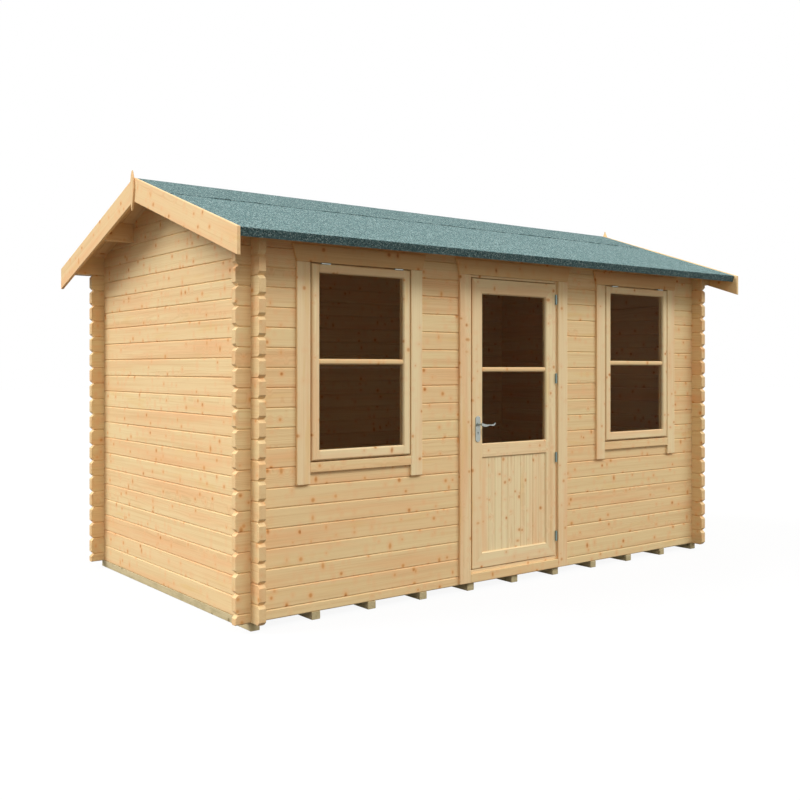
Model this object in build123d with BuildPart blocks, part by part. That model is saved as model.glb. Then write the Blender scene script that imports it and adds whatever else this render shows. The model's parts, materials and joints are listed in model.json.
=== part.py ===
"""Garden log cabin with a glazed door, two windows and a felted ridge roof, in millimetres.

The ridge runs along X, the door faces -Y and +Z is up. The origin is on the ground below the middle.
"""

import os
from math import ceil, cos, radians, sin, sqrt, tan

from build123d import *

os.makedirs("parts", exist_ok=True)

# Log walls, measured over their outer faces
wall_length = 4085
wall_depth = 2270
log_thickness = 44
log_height = 114
wall_courses = 19
corner_overrun = 95
log_seam = 0.3
groove_chamfer = 6
end_chamfer = 20
half_share = 1 / 2
cut_overrun = 20

# Bearers under the walls and the boarded floor between them
bearer_count = 11
bearer_width = 58
bearer_height = 46
floor_thickness = 19

# Ridge roof
roof_pitch = 18.66
roof_board_thickness = 20
felt_thickness = 4
gable_overhang = 200
eaves_overhang = 227
eaves_batten_width = 30
eaves_drop = 46
ridge_felt_reach = 470
purlin_thickness = 44
purlin_seat_course = 20
purlin_seat_rise = 16
ridge_seat_course = 22

# Bargeboards and finials on the gables
bargeboard_thickness = 20
bargeboard_width = 144
bargeboard_reveal = 6
bargeboard_overrun = 29
finial_width = 62
finial_neck_width = 38
finial_foot_width = 8
finial_thickness = 12
finial_rise = 46
finial_length = 260
finial_point = 45
finial_shoulder = 117

# Boards around the openings
trim_thickness = 18
trim_head_height = 100
trim_head_drop = 69
trim_head_flare = 30

# Doorway
door_opening_width = 880
door_jamb_width = 40
door_head_height = 85
threshold_height = 89
frame_depth = 62
door_stop_width = 15
door_clearance = 6
door_trim_reveal = 15
door_trim_width = 95
door_trim_foot = 8
door_foot_board_height = 58

# Door leaf
leaf_thickness = 40
leaf_proud = 6
stile_width = 94
top_rail_height = 100
bottom_rail_height = 99
panel_height = 630
mid_rail_height = 95
leaf_chamfer = 7
panel_thickness = 18
panel_recess = 10
panel_boards = 5
panel_groove = 4
glass_thickness = 4
rebate_depth = 8
door_bar_height = 33
bar_depth = 14
bar_bevel = 8
door_bar_share = 0.495

# Door hinges and handle
hinge_count = 4
hinge_height = 70
hinge_radius = 7
hinge_plate_thickness = 2
hinge_plate_depth = 30
hinge_pin_radius = 3.5
hinge_pin_play = 0.2
hinge_gap = 0.3
hinge_plate_play = 1
hinge_bottom_inset = 138
hinge_top_inset = 109
plate_width = 42
plate_length = 172
plate_thickness = 5
plate_corner = 20
plate_rise = 14
lever_offset = 33
spindle_side = 8
spindle_hole_radius = 7
neck_radius = 7
neck_play = 0.5
neck_length = 44
lever_thickness = 11
lever_top_curve = ((-7, 5), (12, 4), (36, -2), (66, -3), (90, -4), (106, 1), (113, 9))
lever_foot_curve = ((118, 7), (113, -6), (98, -13), (70, -10), (38, -16), (14, -15), (-7, -5))

# Windows
window_opening_width = 794
window_sill_course = 7
window_frame_width = 25
window_sill_height = 19
window_head_height = 65
window_stop_width = 25
window_stop_thickness = 18
window_trim_width = 90
window_trim_tail = 106
sill_trim_height = 58
sash_gap = 10
sash_proud = 22
sash_thickness = 44
sash_member_width = 52
sash_foot_width = 60
sash_chamfer = 7
window_bar_height = 34
window_bar_share = 0.498
window_hinge_radius = 5
window_hinge_length = 64
window_hinge_spread = 538
window_hinge_plate = 3
window_hinge_depth = 38

# Heights that follow from the courses and the pitch
base = bearer_height
slope = tan(radians(roof_pitch))
lean = cos(radians(roof_pitch))
rake = sin(radians(roof_pitch))
wall_top = base + log_height * (wall_courses + half_share)
ridge_under = wall_top + slope * wall_depth / 2
gable_courses = ceil((ridge_under - base) / log_height)
first_seam = base + log_height * half_share
front_face = -wall_depth / 2
back_face = wall_depth / 2
inner_depth = back_face - log_thickness
roof_half_length = wall_length / 2 + gable_overhang
eaves_reach = back_face + eaves_overhang
board_plumb = roof_board_thickness / lean
felt_plumb = felt_thickness / lean


def roof_under(reach):
    """Height of the underside of the roof boards at a distance from the ridge line."""
    return ridge_under - slope * abs(reach)


def log_profiles(plane, middle, bottoms, height):
    """Cross sections of one wall's logs, chamfered where they meet in a V groove."""
    with BuildSketch(plane) as profiles:
        with Locations(*[(middle, bottom + height / 2) for bottom in bottoms]):
            Rectangle(log_thickness, height - log_seam)
        chamfer(profiles.vertices(), length=groove_chamfer)
    return profiles.sketch


def board(left, right, bottom, top):
    """One board of a sketch, given by its four edges."""
    with Locations(((left + right) / 2, (bottom + top) / 2)):
        Rectangle(abs(right - left), top - bottom)


def head_board(middle, half_width, bottom):
    """Board over an opening, wider at the top."""
    with Locations((middle, bottom)):
        Polygon(
            (-half_width, 0),
            (half_width, 0),
            (half_width + trim_head_flare, trim_head_height),
            (-half_width - trim_head_flare, trim_head_height),
            align=None,
        )


sides = (("left", -1), ("right", 1))
slopes = (("front", -1), ("back", 1))
crossing_x = (wall_length - log_thickness) / 2
crossing_y = (wall_depth - log_thickness) / 2
log_end_x = wall_length / 2 + corner_overrun
log_end_y = wall_depth / 2 + corner_overrun
notch_width = log_thickness + 2 * log_seam
notch_height = log_height * half_share
cut_width = log_thickness + 2 * cut_overrun
chamfer_bar = end_chamfer * sqrt(2)
over_seam = (Align.CENTER, Align.CENTER, Align.MIN)
long_seams = [first_seam + log_height * course for course in range(wall_courses)]
cross_seams = [base + log_height * course for course in range(wall_courses + 1)]

# Pressure-treated bearers on the ground, front to back under both long walls
with BuildPart() as floor_bearers:
    with Locations((0, 0, base / 2)):
        with GridLocations((wall_length - bearer_width) / (bearer_count - 1), 0, bearer_count, 1):
            Box(bearer_width, wall_depth, bearer_height)
floor_bearers.part.label = "floor_bearers"
export_step(floor_bearers.part, "parts/floor_bearers.step")

# Boarded floor inside the walls
with BuildPart() as floor_boards:
    with BuildSketch(Plane.XY.offset(base)):
        Rectangle(
            wall_length - 2 * (log_thickness + log_seam),
            wall_depth - 2 * (log_thickness + log_seam),
        )
        with Locations((0, -wall_depth / 2)):
            Rectangle(
                door_opening_width + 2 * log_seam, 2 * (frame_depth + log_seam), mode=Mode.SUBTRACT
            )
    extrude(amount=floor_thickness)
floor_boards.part.label = "floor_boards"
export_step(floor_boards.part, "parts/floor_boards.step")

# Gable walls: full courses crossed by the long walls, then courses cut to the roof with purlin pockets
purlin_seat = base + log_height * purlin_seat_course + purlin_seat_rise
purlin_outer = (ridge_under - purlin_seat - log_height) / slope
purlin_middle = purlin_outer - purlin_thickness / 2
ridge_seat = base + log_height * ridge_seat_course
pocket_width = purlin_thickness + 2 * log_seam
pocket_height = ridge_under - purlin_seat
gable_joint = base + log_height * wall_courses
for side_name, side in sides:
    wall_middle = side * crossing_x
    with BuildPart() as gable_logs:
        courses = [base + log_height * course for course in range(gable_courses)]
        extrude(log_profiles(Plane.XZ, wall_middle, courses, log_height), amount=log_end_y, both=True)
        with BuildSketch(Plane.YZ.offset(wall_middle)):
            with BuildLine():
                Polyline(
                    (0, ridge_under),
                    (inner_depth - log_seam, roof_under(inner_depth - log_seam)),
                    (inner_depth - log_seam, gable_joint),
                    (log_end_y + cut_overrun, gable_joint),
                    (log_end_y + cut_overrun, ridge_under + log_height),
                    (0, ridge_under + log_height),
                    close=True,
                )
            make_face()
            mirror(about=Plane.YZ)
        extrude(amount=cut_width / 2, both=True, mode=Mode.SUBTRACT)
        corners = [(wall_middle, y, seam) for y in (-crossing_y, crossing_y) for seam in cross_seams[:-1]]
        with Locations(*corners):
            Box(cut_width, notch_width, notch_height, align=over_seam, mode=Mode.SUBTRACT)
        ends = [(wall_middle, y, seam) for y in (-log_end_y, log_end_y) for seam in cross_seams]
        with Locations(*ends):
            Box(cut_width, chamfer_bar, chamfer_bar, rotation=(45, 0, 0), mode=Mode.SUBTRACT)
        with Locations(*[(wall_middle, y, purlin_seat - log_seam) for y in (-purlin_middle, purlin_middle)]):
            Box(cut_width, pocket_width, pocket_height, align=over_seam, mode=Mode.SUBTRACT)
        with Locations((wall_middle, 0, ridge_seat - log_seam)):
            Box(cut_width, pocket_width, pocket_height, align=over_seam, mode=Mode.SUBTRACT)
    gable_logs.part.label = f"{side_name}_wall_logs"
    export_step(gable_logs.part, f"parts/{side_name}_wall_logs.step")

# Back wall: a half log first, full courses, and a top log that carries the roof out to the bargeboards
with BuildPart() as back_logs:
    extrude(log_profiles(Plane.YZ, crossing_y, [base], log_height * half_share), amount=log_end_x, both=True)
    extrude(log_profiles(Plane.YZ, crossing_y, long_seams[:-1], log_height), amount=log_end_x, both=True)
    with Locations(*[(x, crossing_y, seam) for x in (-log_end_x, log_end_x) for seam in long_seams]):
        Box(chamfer_bar, cut_width, chamfer_bar, rotation=(0, 45, 0), mode=Mode.SUBTRACT)
    with BuildSketch(Plane.YZ):
        with BuildLine():
            Polyline(
                (inner_depth, long_seams[-1] + log_seam),
                (back_face, long_seams[-1] + log_seam),
                (back_face, wall_top),
                (inner_depth, roof_under(inner_depth)),
                close=True,
            )
        make_face()
    extrude(amount=roof_half_length, both=True)
    with Locations(*[(x, crossing_y, seam) for x in (-crossing_x, crossing_x) for seam in long_seams]):
        Box(notch_width, cut_width, notch_height, align=over_seam, mode=Mode.SUBTRACT)
back_logs.part.label = "back_wall_logs"
export_step(back_logs.part, "parts/back_wall_logs.step")

# Front wall: logs cut short at the doorway and at the windows midway between it and the log ends
opening_top = long_seams[-1]
window_bottom = long_seams[window_sill_course]
window_opening_height = opening_top - window_bottom
door_edge = door_opening_width / 2
window_centre = (door_edge + log_end_x) / 2
for side_name, side in sides:
    outer_end = Plane.YZ.offset(side * log_end_x)
    toward_door = -side * (log_end_x - door_edge)
    with BuildPart() as front_logs:
        extrude(log_profiles(outer_end, -crossing_y, [base], log_height * half_share), amount=toward_door)
        extrude(log_profiles(outer_end, -crossing_y, long_seams[:-1], log_height), amount=toward_door)
        with Locations(*[(side * log_end_x, -crossing_y, seam) for seam in long_seams]):
            Box(chamfer_bar, cut_width, chamfer_bar, rotation=(0, 45, 0), mode=Mode.SUBTRACT)
        with Locations(*[(side * crossing_x, -crossing_y, seam) for seam in long_seams]):
            Box(notch_width, cut_width, notch_height, align=over_seam, mode=Mode.SUBTRACT)
        with Locations((side * window_centre, -crossing_y, window_bottom)):
            Box(
                window_opening_width, cut_width, window_opening_height + log_seam,
                align=over_seam, mode=Mode.SUBTRACT,
            )
    front_logs.part.label = f"front_wall_{side_name}_logs"
    export_step(front_logs.part, f"parts/front_wall_{side_name}_logs.step")

# Front top log, whole over the doorway and windows
with BuildPart() as front_top_log:
    with BuildSketch(Plane.YZ):
        with BuildLine():
            Polyline(
                (-inner_depth, opening_top + log_seam),
                (front_face, opening_top + log_seam),
                (front_face, wall_top),
                (-inner_depth, roof_under(inner_depth)),
                close=True,
            )
        make_face()
    extrude(amount=roof_half_length, both=True)
    with Locations(*[(x, -crossing_y, opening_top) for x in (-crossing_x, crossing_x)]):
        Box(notch_width, cut_width, notch_height, align=over_seam, mode=Mode.SUBTRACT)
front_top_log.part.label = "front_wall_top_log"
export_step(front_top_log.part, "parts/front_wall_top_log.step")

# Ridge purlin and one purlin under each slope, through the gables to the bargeboards
with BuildPart() as roof_purlins:
    with BuildSketch(Plane.YZ):
        with BuildLine():
            Polyline(
                (0, ridge_seat),
                (purlin_thickness / 2, ridge_seat),
                (purlin_thickness / 2, roof_under(purlin_thickness / 2)),
                (0, ridge_under),
                close=True,
            )
        make_face()
        with BuildLine():
            Polyline(
                (purlin_outer - purlin_thickness, purlin_seat),
                (purlin_outer, purlin_seat),
                (purlin_outer, roof_under(purlin_outer)),
                (purlin_outer - purlin_thickness, roof_under(purlin_outer - purlin_thickness)),
                close=True,
            )
        make_face()
        mirror(about=Plane.YZ)
    extrude(amount=roof_half_length, both=True)
roof_purlins.part.label = "roof_purlins"
export_step(roof_purlins.part, "parts/roof_purlins.step")

# Roof boards and felt of each slope, cut square at the eaves with the felt folded down over the edge
board_top = ridge_under + board_plumb
felt_top = board_top + felt_plumb


def eaves_point(way, out, down):
    """A point at the eaves, out along the slope past the boards' top edge and down square to it."""
    reach = eaves_reach + out * lean - down * rake
    return (way * reach, board_top - slope * eaves_reach - out * rake - down * lean)


for slope_name, way in slopes:
    with BuildPart() as roof_boards:
        with BuildSketch(Plane.YZ):
            with BuildLine():
                Polyline(
                    (0, ridge_under),
                    eaves_point(way, 0, roof_board_thickness),
                    eaves_point(way, 0, 0),
                    (0, board_top),
                    close=True,
                )
            make_face()
        extrude(amount=roof_half_length, both=True)
    roof_boards.part.label = f"{slope_name}_roof_boards"
    export_step(roof_boards.part, f"parts/{slope_name}_roof_boards.step")

    with BuildPart() as roof_felt:
        with BuildSketch(Plane.YZ):
            with BuildLine():
                Polyline(
                    (0, board_top),
                    eaves_point(way, 0, 0),
                    eaves_point(way, 0, eaves_drop),
                    eaves_point(way, felt_thickness, eaves_drop),
                    eaves_point(way, felt_thickness, -felt_thickness),
                    (0, felt_top),
                    close=True,
                )
            make_face()
        extrude(amount=roof_half_length, both=True)
    roof_felt.part.label = f"{slope_name}_roof_felt"
    export_step(roof_felt.part, f"parts/{slope_name}_roof_felt.step")

# Ridge felt lapped over both slopes
with BuildPart() as ridge_felt:
    with BuildSketch(Plane.YZ):
        with BuildLine():
            Polyline(
                (0, felt_top),
                (ridge_felt_reach, felt_top - slope * ridge_felt_reach),
                (ridge_felt_reach, felt_top - slope * ridge_felt_reach + felt_plumb),
                (0, felt_top + felt_plumb),
                close=True,
            )
        make_face()
        mirror(about=Plane.YZ)
    extrude(amount=roof_half_length, both=True)
ridge_felt.part.label = "ridge_felt"
export_step(ridge_felt.part, "parts/ridge_felt.step")

# Battens that stiffen the board ends at the eaves
with BuildPart() as eaves_battens:
    with BuildSketch(Plane.YZ):
        with BuildLine():
            Polyline(
                eaves_point(1, 0, eaves_drop),
                eaves_point(1, 0, roof_board_thickness),
                eaves_point(1, -eaves_batten_width, roof_board_thickness),
                eaves_point(1, -eaves_batten_width, eaves_drop),
                close=True,
            )
        make_face()
        mirror(about=Plane.YZ)
    extrude(amount=roof_half_length, both=True)
eaves_battens.part.label = "eaves_battens"
export_step(eaves_battens.part, "parts/eaves_battens.step")

# Bargeboards, mitred plumb at the ridge and cut plumb at the eaves
bargeboard_top = felt_top + bargeboard_reveal
bargeboard_plumb = bargeboard_width / lean
bargeboard_reach = eaves_reach + bargeboard_overrun
for side_name, side in sides:
    inner_side = Plane.YZ.offset(side * roof_half_length)
    for slope_name, way in slopes:
        foot = way * bargeboard_reach
        foot_top = bargeboard_top - slope * bargeboard_reach
        with BuildPart() as bargeboard:
            with BuildSketch(inner_side):
                with BuildLine():
                    Polyline(
                        (0, bargeboard_top),
                        (foot, foot_top),
                        (foot, foot_top - bargeboard_plumb),
                        (0, bargeboard_top - bargeboard_plumb),
                        close=True,
                    )
                make_face()
            extrude(amount=side * bargeboard_thickness)
        bargeboard.part.label = f"{side_name}_{slope_name}_bargeboard"
        export_step(bargeboard.part, f"parts/{side_name}_{slope_name}_bargeboard.step")

# Finial over each bargeboard joint, pointed at both ends
finial_top = bargeboard_top + finial_rise
for side_name, side in sides:
    with BuildPart() as finial:
        with BuildSketch(Plane.YZ.offset(side * (roof_half_length + bargeboard_thickness))):
            with BuildLine():
                Polyline(
                    (0, finial_top),
                    (finial_neck_width / 2, finial_top - finial_point),
                    (finial_width / 2, finial_top - finial_shoulder),
                    (finial_foot_width / 2, finial_top - finial_length),
                    (0, finial_top - finial_length),
                    close=True,
                )
            make_face()
            mirror(about=Plane.YZ)
        extrude(amount=side * finial_thickness)
    finial.part.label = f"{side_name}_finial"
    export_step(finial.part, f"parts/{side_name}_finial.step")

# Door frame: jambs, head and threshold, with planted stops behind the leaf
wall_front = Plane.XZ.offset(-front_face)
jamb_face = door_edge - door_jamb_width
stop_face = jamb_face - door_stop_width
head_under = opening_top - door_head_height
threshold_top = base + threshold_height
stop_setback = leaf_thickness - leaf_proud + door_clearance
with BuildPart() as door_frame:
    with BuildSketch(wall_front):
        for side_name, side in sides:
            board(side * jamb_face, side * door_edge, base, opening_top)
        board(log_seam - jamb_face, jamb_face - log_seam, base, threshold_top)
        board(log_seam - jamb_face, jamb_face - log_seam, head_under, opening_top)
    extrude(amount=-frame_depth)
    with BuildSketch(wall_front.offset(-stop_setback)):
        stop_foot = threshold_top + log_seam
        stop_head = head_under - log_seam
        for side_name, side in sides:
            board(side * stop_face, side * (jamb_face - log_seam), stop_foot, stop_head)
        board(log_seam - stop_face, stop_face - log_seam, stop_foot, stop_foot + door_stop_width)
        board(log_seam - stop_face, stop_face - log_seam, stop_head - door_stop_width, stop_head)
    extrude(amount=stop_setback - frame_depth)
door_frame.part.label = "door_frame"
export_step(door_frame.part, "parts/door_frame.step")

# Door trim outside: two sides, a foot board and a head board that is wider at the top
trim_head_bottom = opening_top - trim_head_drop
door_trim_inner = jamb_face + door_trim_reveal
door_trim_outer = door_trim_inner + door_trim_width
trim_foot = base + door_trim_foot
with BuildPart() as door_outer_trim:
    with BuildSketch(wall_front):
        for side_name, side in sides:
            board(side * door_trim_inner, side * door_trim_outer, trim_foot, trim_head_bottom - log_seam)
        foot_board_half = door_trim_inner - log_seam
        board(-foot_board_half, foot_board_half, trim_foot, trim_foot + door_foot_board_height)
        head_board(0, door_trim_outer, trim_head_bottom)
    extrude(amount=trim_thickness)
door_outer_trim.part.label = "door_outer_trim"
export_step(door_outer_trim.part, "parts/door_outer_trim.step")

# Door trim inside, up to the sides and top of the frame
wall_inside = Plane.XZ.offset(inner_depth)
inner_floor = base + floor_thickness
trim_head_top = trim_head_bottom + trim_head_height
with BuildPart() as door_inner_trim:
    with BuildSketch(wall_inside):
        for side_name, side in sides:
            board(side * (door_edge + log_seam), side * door_trim_outer, inner_floor, opening_top)
        board(-door_trim_outer, door_trim_outer, opening_top + log_seam, trim_head_top)
    extrude(amount=-trim_thickness)
door_inner_trim.part.label = "door_inner_trim"
export_step(door_inner_trim.part, "parts/door_inner_trim.step")

# Door leaf: stiles and rails grooved for the glass above and the boarded panel below
leaf_half = jamb_face - door_clearance
leaf_bottom = threshold_top + door_clearance
leaf_top = head_under - door_clearance
light_half = leaf_half - stile_width
panel_bottom = leaf_bottom + bottom_rail_height
panel_top = panel_bottom + panel_height
light_bottom = panel_top + mid_rail_height
light_top = leaf_top - top_rail_height
leaf_face = front_face - leaf_proud
leaf_back = leaf_face + leaf_thickness
glass_middle = leaf_face + leaf_thickness / 2
panel_middle = leaf_face + panel_recess + panel_thickness / 2
lever_x = -leaf_half + stile_width / 2
plate_middle = light_bottom + plate_rise + plate_length / 2
lever_z = plate_middle + lever_offset
leaf_front = Plane.XZ.offset(-leaf_face)
pane_play = 2 * log_seam
door_pane_width = 2 * (light_half + rebate_depth)
door_pane_height = light_top - light_bottom + 2 * rebate_depth
door_pane_middle = (light_bottom + light_top) / 2
panel_board_height = panel_height + 2 * rebate_depth
panel_board_middle = (panel_bottom + panel_top) / 2
door_bar_middle = light_bottom + door_bar_share * (light_top - light_bottom)
with BuildPart() as door_leaf_frame:
    with BuildSketch(leaf_front):
        board(-leaf_half, leaf_half, leaf_bottom, leaf_top)
        with Locations((0, panel_board_middle)):
            Rectangle(2 * light_half, panel_height, mode=Mode.SUBTRACT)
        with Locations((0, door_pane_middle)):
            Rectangle(2 * light_half, light_top - light_bottom, mode=Mode.SUBTRACT)
        with Locations((lever_x, lever_z)):
            Circle(spindle_hole_radius, mode=Mode.SUBTRACT)
    extrude(amount=-leaf_thickness)
    leaf_sides = door_leaf_frame.faces().filter_by(Axis.Y)
    rims = leaf_sides.edges().filter_by(GeomType.LINE)
    upright_rims = rims.filter_by(lambda rim: abs(rim.center().X) < leaf_half)
    openings = upright_rims.filter_by(lambda rim: leaf_bottom < rim.center().Z < leaf_top)
    chamfer(openings, leaf_chamfer)
    with Locations((0, glass_middle, door_pane_middle)):
        Box(
            door_pane_width + pane_play, glass_thickness + pane_play, door_pane_height + pane_play,
            mode=Mode.SUBTRACT,
        )
    with Locations((0, panel_middle, panel_board_middle)):
        Box(
            door_pane_width + pane_play, panel_thickness + pane_play, panel_board_height + pane_play,
            mode=Mode.SUBTRACT,
        )
    with Locations(*[(x, glass_middle, (leaf_bottom + leaf_top) / 2) for x in (-light_half, light_half)]):
        Box(log_seam, leaf_thickness + cut_overrun, leaf_top - leaf_bottom, mode=Mode.SUBTRACT)
door_leaf_frame.part.label = "door_leaf_frame"
export_step(door_leaf_frame.part, "parts/door_leaf_frame.step")

# Glazing bars on both faces of the door glass
with BuildPart() as door_glazing_bars:
    with BuildSketch(Plane.YZ.offset(log_seam - light_half)):
        for way in (-1, 1):
            with Locations((glass_middle + way * glass_thickness / 2, door_bar_middle)):
                Polygon(
                    (0, -door_bar_height / 2),
                    (way * (bar_depth - bar_bevel), -door_bar_height / 2),
                    (way * bar_depth, bar_bevel - door_bar_height / 2),
                    (way * bar_depth, door_bar_height / 2 - bar_bevel),
                    (way * (bar_depth - bar_bevel), door_bar_height / 2),
                    (0, door_bar_height / 2),
                    align=None,
                )
    extrude(amount=2 * (light_half - log_seam))
door_glazing_bars.part.label = "door_glazing_bars"
export_step(door_glazing_bars.part, "parts/door_glazing_bars.step")

# Door glass in its grooves
with BuildPart() as door_glass:
    with Locations((0, glass_middle, door_pane_middle)):
        Box(door_pane_width, glass_thickness, door_pane_height)
door_glass.part.label = "door_glass"
export_step(door_glass.part, "parts/door_glass.step")

# Lower door panel of upright boards with V grooves at their joints
with BuildPart() as door_panel:
    with Locations((0, panel_middle, panel_board_middle)):
        Box(door_pane_width, panel_thickness, panel_board_height)
        with Locations(*[(0, way * panel_thickness / 2, 0) for way in (-1, 1)]):
            with GridLocations(2 * light_half / panel_boards, 0, panel_boards - 1, 1):
                Box(
                    panel_groove, panel_groove, panel_board_height + cut_overrun,
                    rotation=(0, 0, 45), mode=Mode.SUBTRACT,
                )
door_panel.part.label = "door_panel"
export_step(door_panel.part, "parts/door_panel.step")

# Lift-off door hinges: frame halves carry the pins, door halves turn on them
hinge_x = jamb_face - door_clearance / 2
hinge_y = leaf_face - hinge_radius
hinge_plate_start = hinge_y + hinge_radius + hinge_plate_play
hinge_plate_end = hinge_plate_start + hinge_plate_depth
hinge_span = leaf_top - hinge_top_inset - leaf_bottom - hinge_bottom_inset
hinge_feet = [
    leaf_bottom + hinge_bottom_inset - hinge_height / 2 + hinge_span * count / (hinge_count - 1)
    for count in range(hinge_count)
]
knuckle_height = (hinge_height - hinge_gap) / 2
foot_planes = [Plane.XY.offset(foot) for foot in hinge_feet]
knuckle_planes = [Plane.XY.offset(foot + hinge_height - knuckle_height) for foot in hinge_feet]
with BuildPart() as frame_hinge_halves:
    with BuildSketch(*foot_planes):
        with Locations((hinge_x, hinge_y)):
            Circle(hinge_radius)
        board(jamb_face - hinge_plate_thickness, jamb_face, hinge_y, hinge_plate_start)
    extrude(amount=knuckle_height)
    with BuildSketch(*foot_planes):
        with Locations((hinge_x, hinge_y)):
            Circle(hinge_pin_radius)
        board(jamb_face - hinge_plate_thickness, jamb_face, hinge_plate_start, hinge_plate_end)
    extrude(amount=hinge_height)
frame_hinge_halves.part.label = "frame_hinge_halves"
export_step(frame_hinge_halves.part, "parts/frame_hinge_halves.step")

with BuildPart() as door_hinge_halves:
    with BuildSketch(*knuckle_planes):
        with Locations((hinge_x, hinge_y)):
            Circle(hinge_radius)
        board(leaf_half, leaf_half + hinge_plate_thickness, hinge_y, hinge_plate_start)
        with Locations((hinge_x, hinge_y)):
            Circle(hinge_pin_radius + hinge_pin_play, mode=Mode.SUBTRACT)
    extrude(amount=knuckle_height)
    with BuildSketch(*foot_planes):
        board(leaf_half, leaf_half + hinge_plate_thickness, hinge_plate_start, hinge_plate_end)
    extrude(amount=hinge_height)
door_hinge_halves.part.label = "door_hinge_halves"
export_step(door_hinge_halves.part, "parts/door_hinge_halves.step")

# Handle plates on both faces of the lock stile
with BuildPart() as door_handle_plates:
    with BuildSketch(leaf_front, Plane.XZ.offset(-leaf_back - plate_thickness)):
        with Locations((lever_x, plate_middle)):
            RectangleRounded(plate_width, plate_length, plate_corner)
        with Locations((lever_x, lever_z)):
            Circle(neck_radius + neck_play, mode=Mode.SUBTRACT)
    extrude(amount=plate_thickness)
door_handle_plates.part.label = "door_handle_plates"
export_step(door_handle_plates.part, "parts/door_handle_plates.step")

# Outer and inner lever on one square spindle
lever_front = leaf_face - plate_thickness - neck_length
lever_back = leaf_back + plate_thickness + neck_length
with BuildPart() as door_lever:
    with BuildSketch(Plane.XZ.offset(-lever_back)):
        with Locations((lever_x, lever_z)):
            Rectangle(spindle_side, spindle_side)
    extrude(amount=lever_back - lever_front)
    with BuildSketch(leaf_front.offset(neck_play), Plane.XZ.offset(-lever_back)):
        with Locations((lever_x, lever_z)):
            Circle(neck_radius)
    extrude(amount=plate_thickness + neck_length - neck_play)
    with BuildSketch(Plane.XZ.offset(lever_thickness - lever_back), Plane.XZ.offset(-lever_front)):
        with BuildLine():
            lever_top = Spline(*[(lever_x + along, lever_z + rise) for along, rise in lever_top_curve])
            lever_foot = Spline(*[(lever_x + along, lever_z + rise) for along, rise in lever_foot_curve])
            Line(lever_top @ 1, lever_foot @ 0)
            Line(lever_foot @ 1, lever_top @ 0)
        make_face()
    extrude(amount=-lever_thickness)
door_lever.part.label = "door_lever"
export_step(door_lever.part, "parts/door_lever.step")

# Windows: frame with planted stops, trim on both faces, top-hung sash, glass and two hinges each
frame_half = window_opening_width / 2
casing_half = frame_half - window_frame_width
window_trim_outer = casing_half + window_trim_width
sill_top = window_bottom + window_sill_height
casing_top = opening_top - window_head_height
sash_half = casing_half - sash_gap
sash_bottom = sill_top + sash_gap
sash_top = casing_top - sash_gap
sash_middle = (sash_bottom + sash_top) / 2
pane_half = sash_half - sash_member_width
pane_bottom = sash_bottom + sash_foot_width
pane_top = sash_top - sash_member_width
pane_middle = (pane_bottom + pane_top) / 2
pane_width = 2 * (pane_half + rebate_depth)
pane_height = pane_top - pane_bottom + 2 * rebate_depth
sash_face = front_face - sash_proud
sash_back = sash_face + sash_thickness
window_glass_middle = sash_face + sash_thickness / 2
window_bar_middle = pane_bottom + window_bar_share * (pane_top - pane_bottom)
sash_front = Plane.XZ.offset(-sash_face)
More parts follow.
